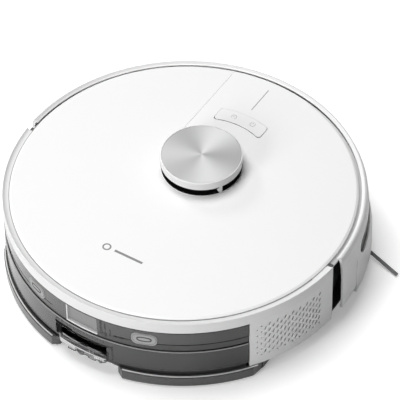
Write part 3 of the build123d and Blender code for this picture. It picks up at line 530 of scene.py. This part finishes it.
def arc_points(centre, radius, start, sweep, steps=28):
    """Points along an arc in the lid's plane, angles in degrees."""
    points = []
    for i in range(steps + 1):
        angle = math.radians(start + sweep * i / steps)
        points.append((centre[0] + radius * math.cos(angle), centre[1] + radius * math.sin(angle)))
    return points


def wall_point(radius, angle, height):
    """Point on a round wall, from millimetres and degrees."""
    a = math.radians(angle)
    return (radius * MM * math.cos(a), radius * MM * math.sin(a), height * MM)


def wall_strip(mesh, r_in, r_out, z_low, z_high, start, sweep, steps=12):
    """Thin strip that follows a round wall."""
    rings = []
    for i in range(steps + 1):
        angle = start + sweep * i / steps
        rings.append(
            [
                wall_point(r_in, angle, z_low),
                wall_point(r_out, angle, z_low),
                wall_point(r_out, angle, z_high),
                wall_point(r_in, angle, z_high),
            ]
        )
    tube_skin(mesh, rings)


# ---------------------------------------------------------------- plain marks on the lid
INK = 0.06 * MM         # height of a print
MARK_Y = -103.5         # line of the ring and bar near the rear edge
SIGN_R = 2.6            # radius of the two key signs
SIGN_LINE = 0.45
STRIP_DROP = 0.35       # the centre strip lies this far under the lid's top


def lid_marks():
    """A plain ring and bar near the rear edge and a thin line near the front."""
    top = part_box("top_cover")[1].z
    mesh = bmesh.new()
    ring = arc_points((-20 * MM, MARK_Y * MM), 3.6 * MM, 0, 360)[:-1]
    flat_stroke(mesh, ring, 1.5 * MM, top, top + INK, loop=True)
    bar = [(-11 * MM, MARK_Y * MM), (20 * MM, MARK_Y * MM)]
    flat_stroke(mesh, bar, 2.6 * MM, top, top + INK)
    new_piece("lid_mark", mesh, PRINT, "chassis")
    mesh = bmesh.new()
    strip_top = top - STRIP_DROP * MM
    line = [(-0.5 * MM, 124 * MM), (-0.5 * MM, 156 * MM)]
    flat_stroke(mesh, line, 0.9 * MM, strip_top, strip_top + INK)
    new_piece("lid_line", mesh, PALE_PRINT, "chassis")


def key_marks():
    """Thin return and power signs, one on each half of the key plate."""
    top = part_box("key_plate")[1].z
    home = (-9.8 * MM, 106.3 * MM)
    power = (11.2 * MM, 106.9 * MM)
    bar = [(home[0] - 1.0 * MM, home[1]), (home[0] + 1.0 * MM, home[1])]
    stem = [(power[0], power[1] + 0.4 * MM), (power[0], power[1] + 3.2 * MM)]
    for name, centre, start, sweep, stroke in (
        ("return_sign", home, -50, 280, bar),
        ("power_sign", power, 120, 300, stem),
    ):
        mesh = bmesh.new()
        arc = arc_points(centre, SIGN_R * MM, start, sweep)
        flat_stroke(mesh, arc, SIGN_LINE * MM, top, top + INK)
        flat_stroke(mesh, stroke, SIGN_LINE * MM, top, top + INK)
        new_piece(name, mesh, PALE_PRINT, "keys")


lid_marks()
key_marks()


# ---------------------------------------------------------------- painted shade in the rim's groove and round the turret
REAR_RIM = (-180.0, 168.0)      # start and sweep of the painted shade in the groove behind the lid
SHADE_DROP = 1.4                 # the lid's edge lies this far under its top
POSTS = (90.0, 210.0, 330.0)    # directions of the turret's three posts
POST_HALF = 2.4                 # half width of a post, degrees
SHADES = (                      # two depths from the turret's outer face and two heights
    (-3.7, -0.7, 89.6, 89.85),
    (-0.85, -0.65, 88.3, 89.85),
    (-0.1, 0.06, 95.55, 96.5),
)


def rim_groove_shade():
    """Grey ring of painted shade in the groove between the lid's falling edge and the rim behind it."""
    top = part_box("top_cover")[1].z / MM - SHADE_DROP
    mesh = bmesh.new()
    wall_strip(mesh, 167.2, 168.6, top - 0.5, top + 0.08, *REAR_RIM, 120)
    new_piece("rim_groove_shade", mesh, LABEL_GREY_AND_SHADE, "chassis")


def turret_shades():
    """Black strips round the turret's three openings: painted shade above them; below them black plastic
    on the base ring, carried down its outer face as painted shade.
    """
    low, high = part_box("turret_cover")
    middle = Vector(((low.x + high.x) / 2, (low.y + high.y) / 2, 0))
    outer = (high.x - low.x) / 2 / MM
    mesh = bmesh.new()
    for post in POSTS:
        sweep = 360 / len(POSTS) - 2 * POST_HALF
        for inner, proud, z_low, z_high in SHADES:
            start = post + POST_HALF
            wall_strip(mesh, outer + inner, outer + proud, z_low, z_high, start, sweep, 40)
    bmesh.ops.translate(mesh, verts=mesh.verts, vec=middle)
    new_piece("turret_shades", mesh, MATT_BLACK, "chassis")


rim_groove_shade()
turret_shades()


# ---------------------------------------------------------------- tank face
TANK_R = 174.4
TANK_EDGE = -142.8      # direction of the tank face's left end
TANK_SPAN = 105.6
PORT_LEFT = -101.4
TANK_STRIPS = (         # inset, proud, two heights, start, sweep and steps of every strip
    (
        "port_ribs", SMOKE, "smoke_plastic",
        [(0.2, 0.35, 41.0, 46.6, -101.5 + 0.55 * i, 0.2, 1) for i in range(34)],
    ),
    (
        "label_frame", SHELL_AND_HIGHLIGHT, "white_shell",
        [(5.6, 0.1, 50.8, 52.4, -96.6, 11.4, 12), (5.6, 0.1, 51.9, 72.6, -96.6, 0.35, 1)],
    ),
    # light grey strip: painted highlight along the top edge of the tank's ledge
    (
        "tank_ledge_highlight", LIGHT_GREY, "grey_plastic",
        [(0.4, 0.4, 46.6, 47.4, TANK_EDGE, TANK_SPAN, 60)],
    ),
    # black strips of painted shade: under the rim's edge, along the groove at mid height, and round the
    # port's opening, which they make look larger
    (
        "tank_shade_strips", MATT_BLACK, "dark_plastic",
        [
            (0.4, 0.12, 73.2, 74.1, TANK_EDGE, TANK_SPAN, 60),
            (0.4, 0.12, 57.1, 57.6, -78.0, 40.6, 30),
            (0.4, 0.12, 57.1, 57.6, TANK_EDGE, 40.0, 30),
            (0.4, 0.15, 36.9, 40.4, -101.7, 7.0, 8),
            (0.4, 0.15, 36.9, 38.2, -94.7, 12.8, 12),
            (0.4, 0.15, 22.6, 40.4, -101.7, 2.4, 3),
        ],
    ),
    (
        "weld_line", SMOKE, "smoke_plastic",
        [
            (0.4, 0.2, 21.0, 21.4, TANK_EDGE, 41.0, 24),
            (0.4, 0.2, 21.0, 21.4, -78.0, 40.8, 24),
        ],
    ),
    (
        "tank_clips", CLEAR, "clear_plastic",
        [
            (2.0, 0.2, 54, 72, -84.2, 0.9, 2),
            (2.0, 0.2, 52, 70, -82.6, 0.5, 2),
            (2.0, 0.2, 56, 64, -80.9, 0.4, 2),
            (2.0, 0.2, 56, 58, -79.6, 1.4, 2),
            (2.0, 0.2, 56, 58, -77.6, 1.4, 2),
            (0.6, 0.9, 22.5, 39.5, PORT_LEFT, 0.3, 1),
            (0.6, 0.9, 22.5, 39.5, -80.4, 0.3, 1),
            (0.6, 0.9, 37.2, 38.0, PORT_LEFT, 21.3, 20),
        ],
    ),
)


def tank_details():
    """Port ribs, label frame, ledge with its painted highlight, black strips of painted shade, weld
    lines and clear clips on the tank's face.
    """
    for name, material, slot, rows in TANK_STRIPS:
        mesh = bmesh.new()
        for inset, proud, z_low, z_high, start, sweep, steps in rows:
            r_in, r_out = TANK_R - inset, TANK_R + proud
            wall_strip(mesh, r_in, r_out, z_low, z_high, start, sweep, steps)
        new_piece(name, mesh, material, "tank")


FLAP_FACE = 176.9
FLAP_EDGE = -99.3       # direction of the flap's left edge
ARCH_STEPS = 24
ARCH_TOP = 0.55         # share of the arch's run where it stops rising
COVER_STEPS = 12


def flap_details():
    """Painted highlights on the clear flap, a pale arched line and uprights along its edges and white
    ribs and a bar along its foot, and its dark hinge covers.
    """
    face = FLAP_FACE
    # pale arched line and uprights: painted highlights along the flap's edges
    mesh = bmesh.new()
    rings = []
    for i in range(ARCH_STEPS + 1):
        share = i / ARCH_STEPS
        climb = 5.6 * math.sin(math.pi * min(1.0, share / ARCH_TOP) / 2)
        rise = 22.6 + climb - 3.4 * max(0.0, share - ARCH_TOP)
        turn = -99.0 + 16.2 * share
        corners = ((-0.1, 0), (0.2, 0), (0.2, 0.35), (-0.1, 0.35))
        rings.append([wall_point(face + out, turn, rise + up) for out, up in corners])
    tube_skin(mesh, rings)
    for start in (FLAP_EDGE, -87.9, -86.6):
        wall_strip(mesh, face - 0.1, face + 0.2, 17.0, 27.8, start, 0.18, 1)
    new_piece("flap_highlight_lines", mesh, LIGHT_GREY, "flap")
    # white bar and ribs: moulded ribs on the foot, coloured white as painted highlights
    mesh = bmesh.new()
    wall_strip(mesh, face - 0.1, face + 0.4, 21.2, 22.2, FLAP_EDGE, 17.0, 20)
    for i in range(14):
        wall_strip(mesh, face - 0.1, face + 0.3, 16.6, 21.0, -99.0 + 0.42 * i, 0.26, 1)
    for i in range(5):
        wall_strip(mesh, face - 0.1, face + 0.3, 17.4, 20.6, -86.2 + 0.7 * i, 0.45, 1)
    new_piece("flap_highlight_ribs", mesh, SHELL_AND_HIGHLIGHT, "flap")
    mesh = bmesh.new()
    for start, sweep, low in ((-92.6, 2.6, 14.2), (-85.0, 1.8, 14.4)):
        rings = []
        for i in range(COVER_STEPS + 1):
            lift = math.sin(math.pi * (i + 0.5) / (COVER_STEPS + 1))
            turn = start + sweep * i / COVER_STEPS
            proud = 176.6 + 1.1 * lift
            corners = ((176.4, low), (proud, low + 0.3), (proud, low + 3.6), (176.4, low + 4))
            shift = 0.8 - 0.8 * lift
            rings.append([wall_point(reach, turn, height + shift) for reach, height in corners])
        tube_skin(mesh, rings)
    new_piece("flap_hinge_covers", mesh, SMOKE, "flap", smooth=True)


MOP_LIP_R = 177.5


def lip_highlight():
    """Pale line, a painted highlight, where the mop bracket's lip turns over at its top."""
    mesh = bmesh.new()
    for start, sweep in ((-146.5, 43.5), (-77.0, 42.6)):
        wall_strip(mesh, MOP_LIP_R - 1.8, MOP_LIP_R - 0.7, 13.8, 14.4, start, sweep, 30)
    new_piece("lip_highlight", mesh, SHELL_AND_HIGHLIGHT, "mop")


BUTTON_SIDES = {"right": -69.7, "left": -110.3}
BUTTON_Z = 62
BUTTON_STEPS = 48
BUTTON_OVALS = (        # name, half width, half height, band width, material
    ("rim", 11.8, 6.9, 1.0, LABEL_GREY_AND_SHADE),
    ("sign", 7.4, 3.2, 1.3, DARK),
)


def squared(value, power):
    """Cosine or sine bent towards the corners of a rounded rectangle."""
    return math.copysign(abs(value) ** power, value)


def button_signs():
    """Grey rim and dark inner oval on each push button."""
    for side, angle in BUTTON_SIDES.items():
        for name, half_wide, half_high, band, material in BUTTON_OVALS:
            mesh = bmesh.new()
            rings = []
            for i in range(BUTTON_STEPS):
                turn = 2 * math.pi * i / BUTTON_STEPS
                spots = []
                for proud, inset in ((0.25, 0), (0.6, 0.15), (0.6, band - 0.15), (0.25, band)):
                    across = (half_wide - inset) * squared(math.cos(turn), 0.7)
                    height = (half_high - inset) * squared(math.sin(turn), 0.8)
                    way = angle + math.degrees(across / TANK_R)
                    spots.append(wall_point(TANK_R + proud, way, BUTTON_Z + height))
                rings.append(spots)
            tube_skin(mesh, rings, loop=True)
            piece_name = f"button_{name}_{side}"
            body = f"button_{side}"
            new_piece(piece_name, mesh, material, body, smooth=True)


tank_details()
flap_details()
lip_highlight()
button_signs()


# ---------------------------------------------------------------- side brushes
BRUSH_X = 120
BRUSH_Y = 96.8
ARMS = 3
FIRST_ARM = {"right": -14.3, "left": 194.3}
HUB_PROFILE = (         # radius and height round the hub
    (0.2, 11.0), (7.0, 11.0), (9.0, 10.6), (10.8, 9.4), (10.8, 7.4), (9.4, 6.6), (0.2, 6.5)
)
HUB_STEPS = 40
ARM_STATIONS = (        # reach, height, half width and half height along an arm
    (7, 8.6, 2.0, 1.7), (18, 8.0, 1.9, 1.6), (30, 7.3, 1.95, 1.6), (31, 7.2, 1.5, 1.2)
)
ARM_SIDES = 12
STRAND_ROWS = 9
STRAND_LAYERS = 6
STRAND_STEPS = 6
STRAND_ROOT = 28
STRAND_TIP = 77.2
STRAND_R = 0.13


def oval(middle, across, half_wide, half_high, sides, first=0.0):
    """Upright oval of points round a middle, in metres."""
    points = []
    for i in range(sides):
        t = first + 2 * math.pi * i / sides
        rise = Vector((0, 0, half_high * math.sin(t)))
        points.append(middle + across * half_wide * math.cos(t) + rise)
    return points


def arm_frames(rest):
    """Directions along and across each arm of a side brush."""
    frames = []
    for arm in range(ARMS):
        a = math.radians(rest + 360 / ARMS * arm)
        frames.append((Vector((math.cos(a), math.sin(a), 0)), Vector((-math.sin(a), math.cos(a), 0))))
    return frames


def brush_hub(mesh, centre, frames):
    """Turned hub and its three stiff arms."""
    rings = []
    for i in range(HUB_STEPS):
        a = 2 * math.pi * i / HUB_STEPS
        out = Vector((math.cos(a), math.sin(a), 0)) * MM
        rings.append([centre + out * radius + Vector((0, 0, high * MM)) for radius, high in HUB_PROFILE])
    tube_skin(mesh, rings, loop=True)
    for along, across in frames:
        rings = []
        for reach, height, half_wide, half_high in ARM_STATIONS:
            middle = centre + along * reach * MM + Vector((0, 0, height * MM))
            rings.append(oval(middle, across, half_wide * MM, half_high * MM, ARM_SIDES))
        tube_skin(mesh, rings)


def brush_tufts(mesh, centre, frames, picker):
    """Combed tufts of bristle that droop towards the floor."""
    for along, across in frames:
        for strand in range(STRAND_ROWS * STRAND_LAYERS):
            row = strand % STRAND_ROWS
            layer = strand // STRAND_ROWS
            wide = (row - 4) * 0.42 + picker.uniform(-0.08, 0.08)
            high = (layer - 2.5) * 0.36 + picker.uniform(-0.06, 0.06)
            end = STRAND_TIP - picker.uniform(0.0, 0.7)
            wander = picker.uniform(-0.12, 0.12)
            rings = []
            for step in range(STRAND_STEPS + 1):
                share = step / STRAND_STEPS
                reach = STRAND_ROOT + (end - STRAND_ROOT) * share
                height = 7.3 - 5.1 * share ** 1.25 + high * (1 - 0.35 * share)
                side_way = wide * (0.8 + 0.2 * share) + wander * math.sin(math.pi * share)
                lift = Vector((0, 0, height * MM))
                middle = centre + along * reach * MM + across * side_way * MM + lift
                rings.append(oval(middle, across, STRAND_R * MM, STRAND_R * MM, 4, math.pi / 4))
            tube_skin(mesh, rings)


def side_brush(side, sign):
    """Hub with three stiff arms that end in combed tufts of bristle."""
    node = f"side_brush_{side}"
    body = f"side_brush_{side[0]}"
    centre = Vector((sign * BRUSH_X * MM, BRUSH_Y * MM, 0))
    frames = arm_frames(FIRST_ARM[side])
    mesh = bmesh.new()
    brush_hub(mesh, centre, frames)
    hub = new_piece(f"{node}_hub", mesh, BLADE, body, smooth=True)
    mesh = bmesh.new()
    brush_tufts(mesh, centre, frames, random.Random(7 if sign > 0 else 8))
    tuft = new_piece(f"{node}_bristles", mesh, NYLON, body)
    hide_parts(node)
    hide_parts(node)


side_brush("right", 1)
side_brush("left", -1)


# ---------------------------------------------------------------- main brush
CORE_R = 10.5
STUB_R = 2.9
STUB_LONG = 3.8
END_GAP = 4             # from the core's end to the end of the brush
CORE_STEPS = 36
BLADES = 6
BLADE_STEPS = 24
BLADE_ROOT = 9.5
BLADE_BEND = 26         # how far a blade's ends trail its middle, degrees
SOFT_TIP, SOFT_THICK = 20.9, 0.9
STIFF_TIP, STIFF_THICK = 20.2, 1.7


def main_brush():
    """Roller with three soft blades and three bristle rows, each bent into a shallow V."""
    low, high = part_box("main_brush")
    middle = (low + high) / 2
    half = (high.x - low.x) / 2 - END_GAP * MM
    stub = half + STUB_LONG * MM
    mesh = bmesh.new()
    rings = []
    for reach, radius in (
        (-stub, STUB_R), (-half, STUB_R), (-half, CORE_R), (half, CORE_R), (half, STUB_R), (stub, STUB_R)
    ):
        ring = []
        for i in range(CORE_STEPS):
            t = 2 * math.pi * i / CORE_STEPS
            out = Vector((0, math.cos(t), math.sin(t))) * radius * MM
            ring.append(middle + Vector((reach, 0, 0)) + out)
        rings.append(ring)
    tube_skin(mesh, rings)
    core = new_piece("brush_core", mesh, DARK, "roller_brush")
    blades = bmesh.new()
    for blade in range(BLADES):
        soft = blade % 2 == 0
        tip = SOFT_TIP if soft else STIFF_TIP
        thick = SOFT_THICK if soft else STIFF_THICK
        rings = []
        for i in range(BLADE_STEPS + 1):
            share = 2 * i / BLADE_STEPS - 1
            turn = math.radians(360 / BLADES * blade + BLADE_BEND * abs(share))
            out = Vector((0, math.cos(turn), math.sin(turn))) * MM
            side_way = Vector((0, -math.sin(turn), math.cos(turn))) * thick * MM
            base = Vector((middle.x + half * 0.985 * share, middle.y, middle.z))
            rings.append(
                [
                    base + out * BLADE_ROOT - side_way,
                    base + out * BLADE_ROOT + side_way,
                    base + out * tip + side_way * 0.6,
                    base + out * tip - side_way * 0.6,
                ]
            )
        tube_skin(blades, rings)
    blade_piece = new_piece("brush_blades", blades, BLADE, "roller_brush")
    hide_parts("main_brush")
    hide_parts("main_brush")


main_brush()


# ---------------------------------------------------------------- mop cloth
PAD_R = 173.6
PAD_FRONT = -78.4
NOTCH_HALF = 34.8
NOTCH_Y = -161.8
PAD_GRID = 2.2          # spacing of the pad's points
PAD_TOP = 2.25
LOOP_HEIGHT = 0.35      # how far the loops vary on the face that wipes


def pad_grid(low, high):
    """Points of the pad's outline-trimmed grid, by column and row, in millimetres."""
    grid = {}
    columns = int((high.x - low.x) / MM / PAD_GRID)
    rows = int((high.y - low.y) / MM / PAD_GRID)
    for column in range(columns + 1):
        for row in range(rows + 1):
            x = low.x / MM + (high.x - low.x) / MM * column / columns
            y = PAD_FRONT - (PAD_FRONT - low.y / MM) * row / rows
            reach = math.hypot(x, y)
            if reach > PAD_R:
                x, y = x * PAD_R / reach, y * PAD_R / reach
                if reach > PAD_R + 1.2 * PAD_GRID:
                    continue
            if abs(x) < NOTCH_HALF and y < NOTCH_Y:
                continue
            grid[column, row] = (x, y)
    return grid, columns, rows


def pad_layer(mesh, grid, height, jitter, picker):
    """One face of the pad, its points lifted unevenly by up to the jitter."""
    made = {}
    for key, (x, y) in grid.items():
        lift = picker.uniform(0, jitter)
        made[key] = mesh.verts.new((x * MM, y * MM, (height + lift) * MM))
    return made


def mop_cloth():
    """Microfibre pad: two faces, the lower one looped, joined round the edge."""
    grid, columns, rows = pad_grid(*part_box("mop_cloth"))
    mesh = bmesh.new()
    picker = random.Random(11)
    lower = pad_layer(mesh, grid, 0.0, LOOP_HEIGHT, picker)
    upper = pad_layer(mesh, grid, PAD_TOP, 0.0, picker)
    borders = {}
    for column in range(columns):
        for row in range(rows):
            keys = [(column, row), (column + 1, row), (column + 1, row + 1), (column, row + 1)]
            if all(key in grid for key in keys):
                mesh.faces.new([lower[key] for key in keys])
                mesh.faces.new([upper[key] for key in reversed(keys)])
                for first, second in zip(keys, keys[1:] + keys[:1]):
                    if (second, first) in borders:
                        del borders[second, first]
                    else:
                        borders[first, second] = True
    for first, second in borders:
        mesh.faces.new((lower[second], lower[first], upper[first], upper[second]))
    loose = [vert for vert in mesh.verts if not vert.link_faces]
    bmesh.ops.delete(mesh, geom=loose, context="VERTS")
    cloth = new_piece("mop_pad", mesh, FABRIC, "mop", smooth=True)
    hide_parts("mop_cloth")


mop_cloth()


# ---------------------------------------------------------------- floor and light
ROOM_GLOW = 0.07        # what the room gives as light
BACKDROP = 0.92         # how pale it looks behind the robot
FLOOR_GLOW = 0.32       # the floor is a light table
FLOOR_HALF = 6
AIM = (0, 0, 0.05)      # the point that every lamp faces
LAMPS = (               # name, place, width, power
    ("overhead", (-0.5, 0.1, 2.4), 1.8, 52.0),
    ("rear_key", (-0.5, -2.6, 1.0), 1.0, 42.0),
    ("left_fill", (-2.3, 0.9, 1.5), 0.7, 16.0),
)


def studio():
    """Pale lit floor, and soft light from overhead, from the rear and from the left."""
    floor_material = moulded(
        "pale floor", grey(0.92), grey(0.915), 0.7, 0.8,
        scale=40.0, depth=0.01, emission_color=(1, 1, 1, 1),
    )
    floor_tree = floor_material.node_tree
    seen = add_node(floor_tree, "ShaderNodeLightPath")
    backlight = add_node(floor_tree, "ShaderNodeMath", operation="MULTIPLY")
    backlight.inputs[1].default_value = FLOOR_GLOW
    floor_tree.links.new(seen.outputs["Is Camera Ray"], backlight.inputs[0])
    floor_shader = floor_tree.nodes["Principled BSDF"]
    floor_tree.links.new(backlight.outputs[0], floor_shader.inputs["Emission Strength"])
    mesh = bmesh.new()
    bmesh.ops.create_grid(mesh, x_segments=2, y_segments=2, size=FLOOR_HALF)
    data = bpy.data.meshes.new("floor")
    mesh.to_mesh(data)
    mesh.free()
    data.materials.append(floor_material)
    floor = bpy.data.objects.new("floor", data)
    scene.collection.objects.link(floor)
    world = bpy.data.worlds.new("studio")
    scene.world = world
    world.use_nodes = True
    tree = world.node_tree
    rays = tree.nodes.new("ShaderNodeLightPath")
    level = tree.nodes.new("ShaderNodeMapRange")
    level.inputs["To Min"].default_value = ROOM_GLOW
    level.inputs["To Max"].default_value = BACKDROP
    tree.links.new(rays.outputs["Is Camera Ray"], level.inputs["Value"])
    tree.links.new(level.outputs["Result"], tree.nodes["Background"].inputs["Strength"])
    tree.nodes["Background"].inputs["Color"].default_value = (1, 1, 1, 1)
    for name, place, size, power in LAMPS:
        lamp_data = bpy.data.lights.new(name, "AREA")
        lamp_data.shape = "DISK"
        lamp_data.size = size
        lamp_data.energy = power
        lamp = bpy.data.objects.new(name, lamp_data)
        scene.collection.objects.link(lamp)
        lamp.location = place
        lamp.rotation_mode = "QUATERNION"
        lamp.rotation_quaternion = (Vector(AIM) - Vector(place)).to_track_quat("-Z", "Y")
    scene.view_settings.view_transform = "Standard"


studio()
